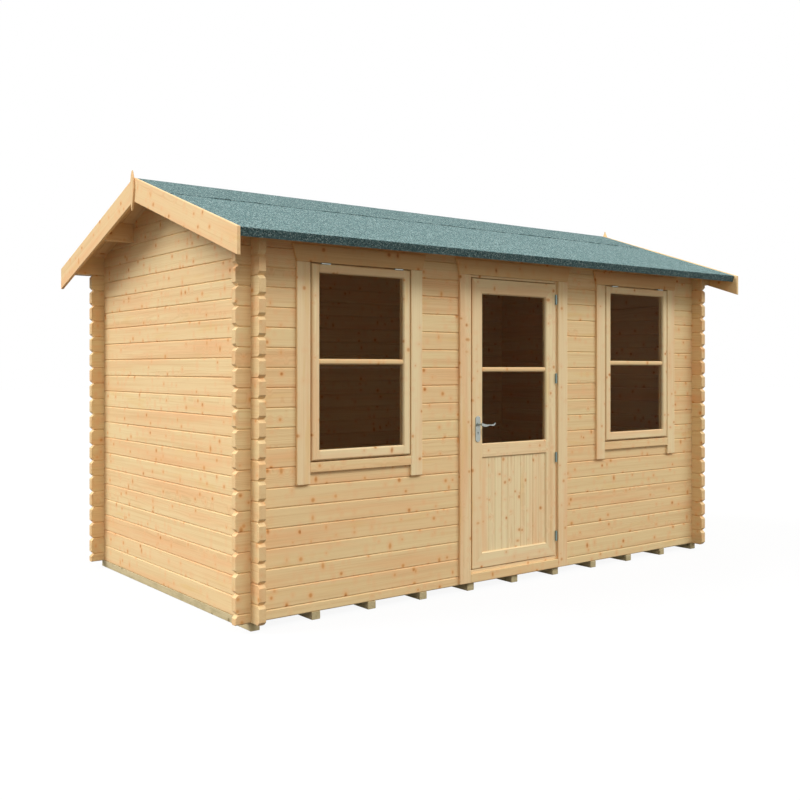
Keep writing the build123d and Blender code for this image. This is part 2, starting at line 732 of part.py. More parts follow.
for side_name, side in sides:
    centre = side * window_centre
    with BuildPart() as window_frame:
        with BuildSketch(wall_front):
            for hand in (-1, 1):
                board(centre + hand * casing_half, centre + hand * frame_half, window_bottom, opening_top)
            rail_half = casing_half - log_seam
            board(centre - rail_half, centre + rail_half, window_bottom, sill_top)
            board(centre - rail_half, centre + rail_half, casing_top, opening_top)
        extrude(amount=-frame_depth)
        with BuildSketch(Plane.XZ.offset(-sash_back - log_seam)):
            stop_inner = casing_half - window_stop_width
            stop_foot = sill_top + log_seam
            stop_head = casing_top - log_seam
            for hand in (-1, 1):
                board(centre + hand * stop_inner, centre + hand * rail_half, stop_foot, stop_head)
            cross_half = stop_inner - log_seam
            board(centre - cross_half, centre + cross_half, stop_foot, stop_foot + window_stop_width)
            board(centre - cross_half, centre + cross_half, stop_head - window_stop_width, stop_head)
        extrude(amount=-window_stop_thickness)
    window_frame.part.label = f"{side_name}_window_frame"
    export_step(window_frame.part, f"parts/{side_name}_window_frame.step")

    with BuildPart() as window_outer_trim:
        with BuildSketch(wall_front):
            trim_tail = window_bottom - window_trim_tail
            for hand in (-1, 1):
                trim_edge = centre + hand * casing_half
                board(trim_edge, centre + hand * window_trim_outer, trim_tail, trim_head_bottom - log_seam)
            board(centre - rail_half, centre + rail_half, sill_top - sill_trim_height, sill_top)
            head_board(centre, window_trim_outer, trim_head_bottom)
        extrude(amount=trim_thickness)
    window_outer_trim.part.label = f"{side_name}_window_outer_trim"
    export_step(window_outer_trim.part, f"parts/{side_name}_window_outer_trim.step")

    with BuildPart() as window_inner_trim:
        with BuildSketch(wall_inside):
            for hand in (-1, 1):
                trim_edge = centre + hand * (frame_half + log_seam)
                board(trim_edge, centre + hand * window_trim_outer, window_bottom, opening_top)
            inner_sill = window_bottom - log_seam
            trim_left = centre - window_trim_outer
            trim_right = centre + window_trim_outer
            board(trim_left, trim_right, inner_sill - sill_trim_height, inner_sill)
            board(trim_left, trim_right, opening_top + log_seam, trim_head_top)
        extrude(amount=-trim_thickness)
    window_inner_trim.part.label = f"{side_name}_window_inner_trim"
    export_step(window_inner_trim.part, f"parts/{side_name}_window_inner_trim.step")

    with BuildPart() as window_sash:
        with BuildSketch(sash_front):
            board(centre - sash_half, centre + sash_half, sash_bottom, sash_top)
            with Locations((centre, pane_middle)):
                Rectangle(2 * pane_half, pane_top - pane_bottom, mode=Mode.SUBTRACT)
        extrude(amount=-sash_thickness)
        chamfer(window_sash.faces().sort_by(Axis.Y)[0].edges(), sash_chamfer)
        with Locations((centre, window_glass_middle, pane_middle)):
            Box(
                pane_width + pane_play, glass_thickness + pane_play, pane_height + pane_play,
                mode=Mode.SUBTRACT,
            )
        with Locations(*[(centre + hand * pane_half, window_glass_middle, sash_middle) for hand in (-1, 1)]):
            Box(log_seam, sash_thickness + cut_overrun, sash_top - sash_bottom, mode=Mode.SUBTRACT)
        with BuildSketch(Plane.YZ.offset(centre - pane_half + log_seam)):
            for way in (-1, 1):
                with Locations((window_glass_middle + way * glass_thickness / 2, window_bar_middle)):
                    Polygon(
                        (0, -window_bar_height / 2),
                        (way * (bar_depth - bar_bevel), -window_bar_height / 2),
                        (way * bar_depth, bar_bevel - window_bar_height / 2),
                        (way * bar_depth, window_bar_height / 2 - bar_bevel),
                        (way * (bar_depth - bar_bevel), window_bar_height / 2),
                        (0, window_bar_height / 2),
                        align=None,
                    )
        extrude(amount=2 * (pane_half - log_seam))
    window_sash.part.label = f"{side_name}_window_sash"
    export_step(window_sash.part, f"parts/{side_name}_window_sash.step")

    with BuildPart() as window_glass:
        with Locations((centre, window_glass_middle, pane_middle)):
            Box(pane_width, glass_thickness, pane_height)
    window_glass.part.label = f"{side_name}_window_glass"
    export_step(window_glass.part, f"parts/{side_name}_window_glass.step")

    with BuildPart() as window_hinges:
        hinge_starts = [centre + hand * window_hinge_spread / 2 - window_hinge_length / 2 for hand in (-1, 1)]
        with BuildSketch(*[Plane.YZ.offset(start) for start in hinge_starts]):
            knuckle_y = front_face - trim_thickness - log_seam - window_hinge_radius
            with Locations((knuckle_y, sash_top + window_hinge_plate / 2)):
                Circle(window_hinge_radius)
            board(knuckle_y, knuckle_y + window_hinge_depth, sash_top, sash_top + window_hinge_plate)
        extrude(amount=window_hinge_length)
    window_hinges.part.label = f"{side_name}_window_hinges"
    export_step(window_hinges.part, f"parts/{side_name}_window_hinges.step")
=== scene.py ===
"""A garden log cabin of planed spruce with a felted ridge roof, dressed over its solids, in metres."""
import json
import math
import random

import bmesh
import bpy
from mathutils import Matrix, Vector


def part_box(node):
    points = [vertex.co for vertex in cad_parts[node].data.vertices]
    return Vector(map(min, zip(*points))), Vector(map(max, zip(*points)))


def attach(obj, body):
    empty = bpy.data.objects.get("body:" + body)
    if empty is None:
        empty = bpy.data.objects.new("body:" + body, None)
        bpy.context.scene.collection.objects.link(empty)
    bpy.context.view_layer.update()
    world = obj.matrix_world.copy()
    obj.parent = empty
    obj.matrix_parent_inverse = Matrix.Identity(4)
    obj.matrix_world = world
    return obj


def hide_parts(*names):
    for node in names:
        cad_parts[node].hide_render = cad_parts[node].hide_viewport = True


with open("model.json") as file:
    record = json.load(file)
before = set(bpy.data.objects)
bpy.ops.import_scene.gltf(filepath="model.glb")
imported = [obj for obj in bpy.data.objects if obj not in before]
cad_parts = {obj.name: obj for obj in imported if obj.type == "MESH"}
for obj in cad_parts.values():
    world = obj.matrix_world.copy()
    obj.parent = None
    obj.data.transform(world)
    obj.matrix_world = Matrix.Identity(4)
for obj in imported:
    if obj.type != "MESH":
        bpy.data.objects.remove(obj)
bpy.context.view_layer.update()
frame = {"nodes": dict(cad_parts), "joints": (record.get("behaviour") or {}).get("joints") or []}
nodes = frame["nodes"]


# Bearers: square lengths of pressure-treated softwood laid front to back on the ground.
# The preservative leaves them grey-green, and they are sawn rather than planed.
weld_gap = 0.00001
flat_angle = math.radians(1.0)
sharp_angle = math.radians(20.0)
bearer_arris = 0.002


def solids_of(name):
    """A node's solids in one mesh, welded, with flat faces made whole."""
    work = bmesh.new()
    work.from_mesh(nodes[name].data)
    bmesh.ops.remove_doubles(work, verts=work.verts, dist=weld_gap)
    bmesh.ops.dissolve_limit(work, angle_limit=flat_angle, verts=work.verts, edges=work.edges)
    return work


def ease(work, width, steps=1, edges=None):
    """Takes the sharp outer arrises off, as a plane or sandpaper does."""
    if edges is None:
        edges = [e for e in work.edges if e.is_convex and e.calc_face_angle(0.0) > sharp_angle]
    bmesh.ops.bevel(
        work, geom=edges, offset=width, offset_type="OFFSET", affect="EDGES",
        segments=steps, profile=0.5, material=-1, clamp_overlap=True,
    )


def boards_in(work):
    """The vertices of each separate board of a mesh."""
    waiting = set(work.verts)
    for first in list(work.verts):
        if first not in waiting:
            continue
        waiting.discard(first)
        board = [first]
        for vert in board:
            for edge in vert.link_edges:
                other = edge.other_vert(vert)
                if other in waiting:
                    waiting.discard(other)
                    board.append(other)
        yield board


def reach(verts):
    """The lowest and highest corner of a box round some vertices."""
    verts = list(verts)
    return (Vector([min(v.co[i] for v in verts) for i in range(3)]),
            Vector([max(v.co[i] for v in verts) for i in range(3)]))


def mark_grain(work, seed, lengthwise=None):
    """Marks each board with metres along, across and through it, half its length, and three draws."""
    grain = work.verts.layers.float_vector.new("grain")
    lot = work.verts.layers.float_vector.new("lot")
    tip = work.verts.layers.float.new("tip")
    draws = random.Random(seed)
    for board in boards_in(work):
        low, high = reach(board)
        size = high - low
        order = sorted(range(3), key=lambda i: -size[i])
        axes = [Vector([float(i == k) for i in range(3)]) for k in order]
        if lengthwise is not None:
            axes[0] = lengthwise.normalized()
            axes[1] = axes[2].cross(axes[0])
        draw = Vector((draws.random(), draws.random(), draws.random()))
        middle = (low + high) / 2
        half_length = max((v.co - middle).dot(axes[0]) for v in board)
        for vert in board:
            place = vert.co - middle
            vert[grain] = Vector([place.dot(axis) for axis in axes])
            vert[lot] = draw
            vert[tip] = half_length


def set_piece(work, name, finish, body="cabin", stands_for=(), crease=0.0):
    """Makes the mesh a piece of the cabin in its own finish, in place of the nodes it stands for."""
    if crease:
        for face in work.faces:
            face.smooth = True
        for edge in work.edges:
            edge.smooth = edge.calc_face_angle(0.0) < crease
    mesh = bpy.data.meshes.new(name)
    work.to_mesh(mesh)
    work.free()
    piece = bpy.data.objects.new(name, mesh)
    bpy.context.scene.collection.objects.link(piece)
    mesh.materials.append(finish)
    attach(piece, body)
    if stands_for:
        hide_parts(*stands_for)


def colour(red, green, blue):
    """A finish's colour from the eight-bit values that a colour card gives."""
    card = [value / 255.0 for value in (red, green, blue)]
    return [v / 12.92 if v <= 0.04045 else ((v + 0.055) / 1.055) ** 2.4 for v in card] + [1.0]


def new_finish(name):
    """A finish to be made up, with its tree of nodes and the node of its surface."""
    finish = bpy.data.materials.new(name)
    finish.use_nodes = True
    return finish, finish.node_tree, finish.node_tree.nodes["Principled BSDF"]


def wire(tree, kind, sockets, **settings):
    """Adds a node with its settings, its sockets joined to others or set to a value, for its outputs."""
    made = tree.nodes.new("ShaderNode" + kind)
    for key, value in settings.items():
        setattr(made, key, value)
    for key, value in sockets.items():
        if isinstance(value, bpy.types.NodeSocket):
            tree.links.new(value, made.inputs[key])
        else:
            made.inputs[key].default_value = value
    return made.outputs


def mix(tree, share, first, second):
    """One colour laid over another by a share."""
    return wire(tree, "Mix", {0: share, 6: first, 7: second}, data_type="RGBA")[2]


def ramp(tree, value, start, end, low=0.0, high=1.0):
    """A value brought smoothly from one range to another."""
    return wire(
        tree, "MapRange",
        {"Value": value, "From Min": start, "From Max": end, "To Min": low, "To Max": high},
        interpolation_type="SMOOTHSTEP",
    )[0]


def sums(tree, operation, first, second=0.0, third=0.0):
    """One step of arithmetic in a finish."""
    return wire(tree, "Math", {0: first, 1: second, 2: third}, operation=operation)[0]


def stretch(tree, place, along, across):
    """A place scaled along the grain and across it."""
    return wire(tree, "VectorMath", {0: place, 1: (along, across, across)}, operation="MULTIPLY")[0]


def noise(tree, place, detail=2.0, rough=0.5):
    """An uneven pattern about one unit wide."""
    return wire(tree, "TexNoise", {"Vector": place, "Scale": 1.0, "Detail": detail, "Roughness": rough})


def knots(tree, place, cell, size, least):
    """Depth inside the branches that cross a board, one to a cell of the wood, in cell widths."""
    cells = wire(tree, "TexVoronoi", {"Vector": place, "Scale": 1.0 / cell}, feature="F1")
    branch = wire(tree, "SeparateXYZ", {0: cells["Color"]})
    grown = ramp(tree, branch[0], least, 1.0)
    return sums(tree, "MULTIPLY_ADD", grown, size, sums(tree, "MULTIPLY", cells["Distance"], -1.0))


def timber(name, sap, heart, late, knot, knot_rim, blush=0.5, stain=0.35, variety=0.3, knot_size=0.16,
           worn=0.0, shine=0.25):
    """Softwood with rings about a pith of the board's own, streaks along it, knots and resin stains."""
    ring = 0.005
    round_cell, spike_cell, knot_drift = 0.078, 0.08, 0.012
    own_place = (37.0, 23.0, 29.0)
    pith_range, pith_least = (0.0, 0.34, 0.16), (0.0, -0.17, 0.02)
    pith_wander = (0.0, 0.02, 0.02)
    resin_stain = colour(232, 190, 112)
    finish, tree, shader = new_finish(name)
    grain = wire(tree, "Attribute", {}, attribute_name="grain")["Vector"]
    lot = wire(tree, "Attribute", {}, attribute_name="lot")["Vector"]
    tip = wire(tree, "Attribute", {}, attribute_name="tip")["Fac"]
    place = wire(tree, "VectorMath", {0: lot, 1: own_place, 2: grain}, operation="MULTIPLY_ADD")[0]
    draw = wire(tree, "SeparateXYZ", {0: lot})
    along = wire(tree, "SeparateXYZ", {0: grain})[0]

    wander = noise(tree, stretch(tree, place, 1.3, 8.0), 2.0)["Color"]
    wander = wire(tree, "VectorMath", {0: wander, 1: (0.5, 0.5, 0.5)}, operation="SUBTRACT")[0]
    uneven = wire(tree, "VectorMath", {0: wander, 1: (knot_drift,) * 3, 2: place},
                  operation="MULTIPLY_ADD")[0]
    round_knot = knots(tree, uneven, round_cell, knot_size, -0.1)
    spike_knot = knots(tree, stretch(tree, uneven, 1.0, 0.6), spike_cell, 0.85 * knot_size, 0.0)
    inside = sums(tree, "MAXIMUM", round_knot, spike_knot)
    knot_share = ramp(tree, inside, -0.02, 0.11)
    rim_share = ramp(tree, inside, -0.07, 0.04)
    halo = ramp(tree, inside, -0.34, 0.0)

    pith = wire(tree, "VectorMath", {0: lot, 1: pith_range, 2: pith_least}, operation="MULTIPLY_ADD")[0]
    bent = wire(tree, "VectorMath", {0: wander, 1: pith_wander, 2: stretch(tree, grain, 0.0, 1.0)},
                operation="MULTIPLY_ADD")[0]
    radius = wire(tree, "VectorMath", {0: bent, 1: pith}, operation="DISTANCE")["Value"]
    radius = sums(tree, "MULTIPLY_ADD", halo, 0.006, radius)
    years = sums(tree, "SINE", sums(tree, "MULTIPLY", radius, 2.0 * math.pi / ring))
    years = ramp(tree, years, -0.2, 1.0)
    fibre = noise(tree, stretch(tree, place, 2.5, 190.0), 3.0, 0.6)["Fac"]
    streak = noise(tree, stretch(tree, place, 0.5, 34.0), 3.0, 0.6)["Fac"]
    flush = noise(tree, stretch(tree, place, 0.9, 10.0), 3.0)["Fac"]
    resin = noise(tree, stretch(tree, place, 2.2, 14.0), 2.0)["Fac"]
    end_grain = ramp(tree, sums(tree, "SUBTRACT", sums(tree, "ABSOLUTE", along), tip), -0.002, -0.0005)

    tone = sums(tree, "MULTIPLY_ADD", draw[0], variety, ramp(tree, flush, 0.45, 0.72, 0.0, blush))
    body = mix(tree, tone, sap, heart)
    body = mix(tree, ramp(tree, resin, 0.58, 0.78, 0.0, stain), body, resin_stain)
    body = mix(tree, sums(tree, "MULTIPLY", years, ramp(tree, streak, 0.3, 0.7, 0.05, 0.3)), body, late)
    body = mix(tree, ramp(tree, streak, 0.48, 0.8, 0.0, 0.32), body, late)
    body = mix(tree, ramp(tree, fibre, 0.45, 0.8, 0.0, 0.3), body, late)
    body = mix(tree, sums(tree, "MULTIPLY", halo, 0.45), body, heart)
    body = mix(tree, sums(tree, "MULTIPLY", rim_share, 0.8), body, knot_rim)
    dark_knot = ramp(tree, resin, 0.35, 0.62, 0.95, 0.35)
    body = mix(tree, sums(tree, "MULTIPLY", knot_share, dark_knot), body, knot)
    body = mix(tree, sums(tree, "MULTIPLY", end_grain, ramp(tree, years, 0.0, 1.0, 0.1, 0.5)), body, late)
    if worn:
        patches = noise(tree, stretch(tree, place, 9.0, 30.0), 4.0, 0.65)["Fac"]
        body = mix(tree, ramp(tree, patches, 0.4, 0.75, 0.0, worn), body, late)
    tree.links.new(body, shader.inputs["Base Color"])
    rough = ramp(tree, streak, 0.2, 0.8, 0.52, 0.72)
    tree.links.new(rough, shader.inputs["Roughness"])
    shader.inputs["Specular IOR Level"].default_value = shine
    height = sums(tree, "MULTIPLY_ADD", years, 0.4, fibre)
    height = sums(tree, "MULTIPLY_ADD", knot_share, 0.5, height)
    bump = wire(tree, "Bump", {"Strength": 0.3, "Distance": 0.0008, "Height": height})["Normal"]
    tree.links.new(bump, shader.inputs["Normal"])
    return finish


treated_finish = timber(
    "treated_softwood", sap=colour(216, 198, 156), heart=colour(194, 175, 131), late=colour(154, 140, 99),
    knot=colour(110, 92, 58), knot_rim=colour(138, 120, 80), stain=0.0, worn=0.5, shine=0.2,
)
bearers = solids_of("floor_bearers")
ease(bearers, bearer_arris)
mark_grain(bearers, "bearers")
set_piece(bearers, "treated_bearers", treated_finish, stands_for=["floor_bearers"])


# Floor: planed spruce boards, tongued together, nailed along the cabin across the bearers.
# They are cut round the door frame, and each long edge has a small bevel.
floor_cover = 0.1148
floor_arris = 0.002
board_gap = 0.0004
board_finish = timber(
    "spruce_boarding", sap=colour(233, 201, 152), heart=colour(222, 178, 124), late=colour(196, 148, 96),
    knot=colour(168, 102, 52), knot_rim=colour(200, 140, 84),
)


def saw(board, point, toward):
    """Cuts off the part of a board that lies toward one side of a point, and closes the cut."""
    cut = bmesh.ops.bisect_plane(
        board, geom=board.verts[:] + board.edges[:] + board.faces[:], dist=weld_gap,
        plane_co=point, plane_no=toward, clear_outer=True,
    )
    rim = [item for item in cut["geom_cut"] if isinstance(item, bmesh.types.BMEdge)]
    bmesh.ops.holes_fill(board, edges=rim, sides=0)


def gather(whole, board):
    """Lays a board with the others of its piece."""
    held = bpy.data.meshes.new("board")
    board.to_mesh(held)
    board.free()
    whole.from_mesh(held)
    bpy.data.meshes.remove(held)


def sawn(name, axis, joints):
    """A node's slab sawn across an axis into boards that meet at the joints."""
    across = Vector([float(i == axis) for i in range(3)])
    low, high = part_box(name)
    edges = [low[axis] - board_gap] + joints + [high[axis] + board_gap]
    whole = bmesh.new()
    for first, last in zip(edges, edges[1:]):
        strip = solids_of(name)
        saw(strip, across * (first + board_gap / 2), -across)
        saw(strip, across * (last - board_gap / 2), across)
        gather(whole, strip)
    return whole


def even_joints(low, high, cover):
    """Joints of boards of about one cover width that share a length evenly."""
    rows = round((high - low) / cover)
    return [low + (high - low) * row / rows for row in range(1, rows)]


floor_low, floor_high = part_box("floor_boards")
floor = sawn("floor_boards", 1, even_joints(floor_low.y, floor_high.y, floor_cover))
ease(floor, floor_arris)
mark_grain(floor, "floor")
set_piece(floor, "floor_planks", board_finish, stands_for=["floor_boards"])


# Walls: planed spruce logs, tongued on top, grooved below and chamfered along every seam.
# They lock over each other at the corners by their notches, with nothing else to hold them.
log_finish = timber(
    "spruce_logs", sap=colour(238, 212, 159), heart=colour(239, 184, 130), late=colour(207, 160, 106),
    knot=colour(188, 118, 60), knot_rim=colour(228, 166, 96), blush=0.5,
)
for wall in ("left_wall", "right_wall", "back_wall", "front_wall_left", "front_wall_right"):
    logs = solids_of(wall + "_logs")
    mark_grain(logs, wall)
    set_piece(logs, wall + "_stack", log_finish, stands_for=[wall + "_logs"])
top_log = solids_of("front_wall_top_log")
mark_grain(top_log, "top log")
set_piece(top_log, "front_wall_head_log", log_finish, stands_for=["front_wall_top_log"])


# Purlins: three planed spruce beams that carry the roof boards from gable to gable.
# They are let into pockets in the gable logs, and their ends show under the overhangs.
purlin_arris = 0.002
purlins = solids_of("roof_purlins")
ease(purlins, purlin_arris)
mark_grain(purlins, "purlins")
set_piece(purlins, "ridge_and_side_purlins", board_finish, stands_for=["roof_purlins"])


# Roof boards: tongued spruce boards nailed to the purlins from ridge to eaves.
# Their undersides show below the overhangs, with a bevel along each joint.
# A batten along each eaves gives the felt an edge to fold over.
roof_cover = 0.1144
roof_arris = 0.003
pitch = math.radians(18.66)
fall = {"front": Vector((0.0, math.cos(pitch), math.sin(pitch))),
        "back": Vector((0.0, math.cos(pitch), -math.sin(pitch)))}
for side in ("front", "back"):
    slab = side + "_roof_boards"
    low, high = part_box(slab)
    lining = sawn(slab, 0, even_joints(low.x, high.x, roof_cover))
    ease(lining, roof_arris)
    mark_grain(lining, slab, lengthwise=fall[side])
    set_piece(lining, side + "_roof_lining", board_finish, stands_for=[slab])
battens = solids_of("eaves_battens")
ease(battens, roof_arris)
mark_grain(battens, "battens")
set_piece(battens, "eaves_edge_battens", board_finish, stands_for=["eaves_battens"])


# Felt: green mineral roofing felt, a bitumen sheet with coloured grit rolled into its face.
# A sheet on each slope is folded over the eaves batten, and a third is lapped over the ridge.
# The ridge sheet is of a slightly darker roll, and its edges lie unevenly.
fold_radius = 0.006
fold_steps = 4
eaves_zone = 1.36
long_run = 1.0
lap_steps = 300
lap_waves = (7.1, 23.7, 61.3, 131.0)
lap_offset = 0.7
lap_lie, lap_sway, lap_least = 0.62, 0.35, 0.2
drift_wave, drift_ragged, lap_drift = 9.3, 0.4, 0.0015


def felted(name, shade):
    """Pale and dark green grit on bitumen, showing through by a share on the tops; steep faces get a painted
    shade.
    """
    grains, clumps, clouds = 200.0, 75.0, 5.0
    bitumen_and_painted_shade = colour(24, 36, 35)
    finish, tree, shader = new_finish(name)
    place = wire(tree, "TexCoord", {})["Object"]
    grit = wire(tree, "TexVoronoi", {"Vector": place, "Scale": grains}, feature="F1")
    grit_draw = wire(tree, "SeparateXYZ", {0: grit["Color"]})
    clump = wire(tree, "TexNoise", {"Vector": place, "Scale": clumps, "Detail": 3.0, "Roughness": 0.7})["Fac"]
    cloud = wire(tree, "TexNoise", {"Vector": place, "Scale": clouds, "Detail": 3.0, "Roughness": 0.6})["Fac"]
    body = mix(tree, ramp(tree, clump, 0.36, 0.64), colour(61, 89, 90), colour(112, 142, 141))
    body = mix(tree, ramp(tree, grit_draw[0], 0.74, 0.92, 0.0, 0.85), body, colour(180, 200, 196))
    body = mix(tree, ramp(tree, grit_draw[1], 0.74, 0.92, 0.0, 0.85), body, colour(26, 44, 46))
    body = mix(tree, ramp(tree, cloud, 0.35, 0.7, 0.0, 0.25), body, colour(80, 108, 108))
    facing = wire(tree, "SeparateXYZ", {0: wire(tree, "TexCoord", {})["Normal"]})[2]
    # Painted shade: steep faces, the eaves drops and the ridge lap edges, are mixed far towards dark bitumen.
    body = mix(tree, ramp(tree, facing, 0.2, 0.6, 0.45, shade), body, bitumen_and_painted_shade)
    tree.links.new(body, shader.inputs["Base Color"])
    tree.links.new(ramp(tree, clump, 0.2, 0.8, 0.82, 0.96), shader.inputs["Roughness"])
    shader.inputs["Specular IOR Level"].default_value = 0.2
    height = sums(tree, "MULTIPLY_ADD", grit["Distance"], -0.6, clump)
    bump = wire(tree, "Bump", {"Strength": 0.5, "Distance": 0.0012, "Height": height})["Normal"]
    tree.links.new(bump, shader.inputs["Normal"])
    return finish


def runs_along(edge):
    """Whether an edge runs the length of the roof."""
    return abs(edge.verts[0].co.x - edge.verts[1].co.x) > long_run


slope_finish = felted("green_mineral_felt", 0.0)
ridge_finish = felted("green_ridge_felt", 0.12)
for sheet in ("front_roof_felt", "back_roof_felt"):
    felt = solids_of(sheet)
    drop_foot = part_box(sheet)[0].z + fold_radius
    fold = [
        e for e in felt.edges
        if e.is_convex and e.calc_face_angle(0.0) > sharp_angle and runs_along(e)
        and all(abs(v.co.y) > eaves_zone and v.co.z > drop_foot for v in e.verts)
    ]
    ease(felt, fold_radius, fold_steps, fold)
    name = sheet.replace("roof_felt", "slope_felt")
    set_piece(felt, name, slope_finish, stands_for=[sheet])
ridge = solids_of("ridge_felt")
ridge_low, ridge_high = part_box("ridge_felt")
lap_edge = ridge_high.y - fold_radius
long_edges = [e for e in ridge.edges if runs_along(e)]
bmesh.ops.subdivide_edges(ridge, edges=long_edges, cuts=lap_steps, use_grid_fill=True)
for vert in ridge.verts:
    if abs(vert.co.y) > lap_edge:
        run = vert.co.x + math.copysign(lap_offset, vert.co.y)
        wave = sum(math.sin(count * run) for count in lap_waves)
        drift = lap_drift * (math.sin(drift_wave * run) + drift_ragged * wave)
        vert.co.z = ridge_low.z + (vert.co.z - ridge_low.z) * max(lap_least, lap_lie + lap_sway * wave)
        vert.co.y += math.copysign(drift, vert.co.y)
set_piece(ridge, "ridge_lap_felt", ridge_finish, stands_for=["ridge_felt"])


# Bargeboards and finials: planed spruce boards nailed to the ends of the roof boards.
# Each pair meets under the ridge behind a short pointed finial.
planed_arris = 0.003
planed_steps = 2
for end in ("left", "right"):
    for side in ("front", "back"):
        name = f"{end}_{side}_bargeboard"
        board = solids_of(name)
        ease(board, planed_arris, planed_steps)
        mark_grain(board, name, lengthwise=fall[side])
        set_piece(board, f"{end}_{side}_barge", log_finish, stands_for=[name])
    finial = solids_of(end + "_finial")
    ease(finial, planed_arris, planed_steps)
    mark_grain(finial, end + " finial")
    set_piece(finial, end + "_pointed_finial", log_finish, stands_for=[end + "_finial"])


# Door frame and its trims: a rebated spruce frame set in the doorway over the log ends.
# Flat boards cover the joint inside and out, and the outer head board splays past the sides.
# The head boards here and over the windows get a darker, redder finish, painted shade as under the eaves.
head_depth = 0.08
planed_finish = timber(
    "planed_spruce", sap=colour(244, 225, 178), heart=colour(240, 196, 146), late=colour(216, 174, 122),
    knot=colour(188, 120, 62), knot_rim=colour(224, 166, 104), blush=0.6, variety=0.4, knot_size=0.15,
)
# Painted shade: a darker, redder spruce for the head boards, which lie in the shade of the eaves.
head_shade_finish = timber(
    "head_board_painted_shade", sap=colour(236, 200, 142), heart=colour(233, 178, 120), late=colour(202, 152, 98),
    knot=colour(180, 112, 58), knot_rim=colour(216, 152, 88),
)


def one_board(work, board):
    """A copy of one board of a mesh by itself."""
    work.verts.index_update()
    kept = {vert.index for vert in board}
    alone = work.copy()
    bmesh.ops.delete(alone, geom=[v for v in alone.verts if v.index not in kept], context="VERTS")
    return alone


def parted(whole, apart):
    """A mesh's boards in two lots: the rest, and those that a test of their size sets apart."""
    rest, lot = bmesh.new(), bmesh.new()
    for board in boards_in(whole):
        low, high = reach(board)
        gather(lot if apart(high - low) else rest, one_board(whole, board))
    whole.free()
    return rest, lot


def planed(work, name, finish, stands_for=(), body="cabin"):
    """Eases planed boards and sets them in their place."""
    ease(work, planed_arris, planed_steps)
    mark_grain(work, name)
    set_piece(work, name, finish, body, stands_for)


def lies_level(size):
    """Whether a board of some size runs across the front and not up it."""
    return size.x > size.z


def is_deep(size):
    """Whether a level board is a head board, which is deeper than a sill or foot board."""
    return size.z > head_depth


planed(solids_of("door_frame"), "door_lining", planed_finish, ["door_frame"])
planed(solids_of("door_inner_trim"), "door_inside_architrave", planed_finish, ["door_inner_trim"])
side_boards, level_boards = parted(solids_of("door_outer_trim"), lies_level)
foot_board, head_board = parted(level_boards, is_deep)
planed(side_boards, "door_architrave", planed_finish, ["door_outer_trim"])
planed(foot_board, "door_foot_board", log_finish)
planed(head_board, "door_head_board", head_shade_finish)


# Door leaf: spruce stiles and rails, mitred at the corners, glazed above and boarded below.
# The bars are rounded over, and the boards in the lower panel meet in V grooves.
bar_round = 0.006
bar_steps = 4
panel_arris = 0.0015
panel_cover = 0.06
panel_joints = [panel_cover * row for row in range(-4, 5)]


def mitred(work):
    """A frame of stiles and rails with its corner joints cut from the inner corners to the outer ones."""
    low, high = reach(work.verts)
    boards = list(boards_in(work))
    boxes = [reach(board) for board in boards]
    rails = [row for row, box in enumerate(boxes) if lies_level(box[1] - box[0])]
    rails.sort(key=lambda row: boxes[row][0].z)
    foot, head = rails[0], rails[-1]
    left, right = boxes[foot][0].x, boxes[foot][1].x
    foot_top, head_foot = boxes[foot][1].z, boxes[head][0].z
    for vert in boards[foot] + boards[head]:
        if vert.co.x < left + weld_gap:
            vert.co.x = low.x
        elif vert.co.x > right - weld_gap:
            vert.co.x = high.x
    whole = bmesh.new()
    for row, verts in enumerate(boards):
        board = one_board(work, verts)
        both_sides = boxes[row][0].x + boxes[row][1].x
        for outer_x, inner_x in ((low.x, left), (high.x, right)):
            is_stile = row not in rails and abs(both_sides - outer_x - inner_x) < weld_gap + board_gap
            for outer_z, inner_z, rail in ((low.z, foot_top, foot), (high.z, head_foot, head)):
                corner = Vector((outer_x, 0.0, outer_z))
                slant = Vector((inner_z - outer_z, 0.0, outer_x - inner_x)).normalized()
                if slant.x * outer_x > 0.0:
                    slant.negate()
                if row == rail:
                    saw(board, corner + slant * board_gap / 2, -slant)
                elif is_stile:
                    saw(board, corner - slant * board_gap / 2, slant)
        gather(whole, board)
    work.free()
    return whole


leaf = mitred(solids_of("door_leaf_frame"))
planed(leaf, "door_stiles_and_rails", planed_finish, ["door_leaf_frame"], "door")
bars = solids_of("door_glazing_bars")
ease(bars, bar_round, bar_steps)
mark_grain(bars, "door bars")
set_piece(bars, "door_cross_bars", log_finish, body="door",
          stands_for=["door_glazing_bars"], crease=sharp_angle)
panel = sawn("door_panel", 0, panel_joints)
ease(panel, panel_arris)
mark_grain(panel, "door panel")
set_piece(panel, "door_boarding", planed_finish, body="door", stands_for=["door_panel"])


# Panes: plain sheet glass with a brown solar tint, very slightly uneven.
# They are bedded behind the bars of the door and of the sashes.


def refinish(name, finish):
    """Gives a node that keeps its own shape a finish."""
    nodes[name].data.materials.clear()
    nodes[name].data.materials.append(finish)


glass_finish, tree, shader = new_finish("brown_tinted_glass")
place = wire(tree, "TexCoord", {})["Object"]
ripple = wire(tree, "TexNoise", {"Vector": place, "Scale": 3.0, "Detail": 2.0, "Roughness": 0.5})["Fac"]
tint = mix(tree, ripple, colour(206, 195, 184), colour(212, 201, 190))
tree.links.new(tint, shader.inputs["Base Color"])
tree.links.new(ramp(tree, ripple, 0.2, 0.8, 0.0, 0.01), shader.inputs["Roughness"])
shader.inputs["Transmission Weight"].default_value = 1.0
shader.inputs["IOR"].default_value = 1.08
shader.inputs["Specular IOR Level"].default_value = 0.5
for pane in ("door_glass", "left_window_glass", "right_window_glass"):
    refinish(pane, glass_finish)
